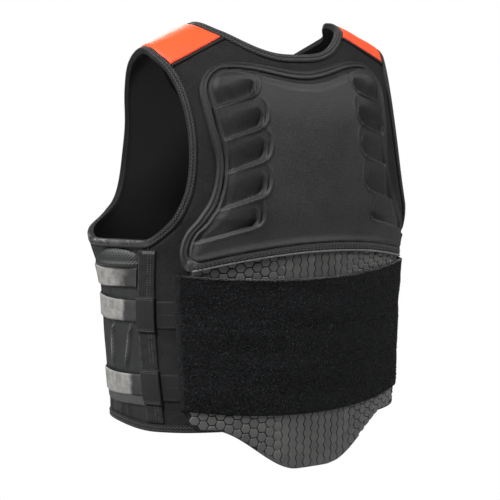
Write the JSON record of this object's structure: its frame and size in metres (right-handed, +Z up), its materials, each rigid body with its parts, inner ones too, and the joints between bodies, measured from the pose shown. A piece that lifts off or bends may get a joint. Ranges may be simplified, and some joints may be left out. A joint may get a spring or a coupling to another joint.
{
  "type": "impact vest",
  "caption": "Sleeveless padded impact vest in its worn shape, with a moulded upper back pad, honeycomb back plate and tail, loop-pile waist band, orange shoulder patches and side straps.",
  "frame": {"origin": "midway between the two shoulder straps, level with the inside of their crests, where the shoulders carry the vest", "axes": "+Z up, the wearer faces -Y, the wearer's left is +X"},
  "size_m": [0.4662, 0.2822, 0.571],
  "materials": {
    "cloth": "matt charcoal stretch knit over foam",
    "mesh": "fine stretch mesh, slightly shiny",
    "pad": "heat-moulded foam under matt charcoal knit",
    "plate": "satin grey sheet embossed with a honeycomb",
    "pile": "black loop pile",
    "patch": "bright orange coated cloth, semi-matt",
    "binding": "black elastic binding with cover stitches",
    "strap": "grey woven elastic",
    "webbing": "black woven webbing"
  },
  "bodies": {
    "root": {"back_panel": "cloth", "front_panel": "cloth", "upper_back_pad": "pad", "back_plate": "plate", "waist_band": "pile", "neck_binding": "binding", "hem_binding": "binding", "side_panel_left": "mesh", "side_panel_right": "mesh", "armhole_binding_left": "binding", "armhole_binding_right": "binding", "shoulder_patch_left": "patch", "shoulder_patch_right": "patch", "shoulder_tape_back_left": "binding", "shoulder_tape_back_right": "binding", "shoulder_tape_front_left": "binding", "shoulder_tape_front_right": "binding", "side_trim_left": "binding", "side_trim_right": "binding", "side_strap_upper_left": "strap", "side_strap_upper_right": "strap", "side_strap_middle_left": "strap", "side_strap_middle_right": "strap", "side_strap_lower_left": "strap", "side_strap_lower_right": "strap", "strap_tab_middle_left": "webbing", "strap_tab_middle_right": "webbing", "strap_tab_lower_left": "webbing", "strap_tab_lower_right": "webbing", "strap_anchor_middle_left": "webbing", "strap_anchor_middle_right": "webbing", "strap_anchor_lower_left": "webbing", "strap_anchor_lower_right": "webbing"}
  },
  "joints": []
}
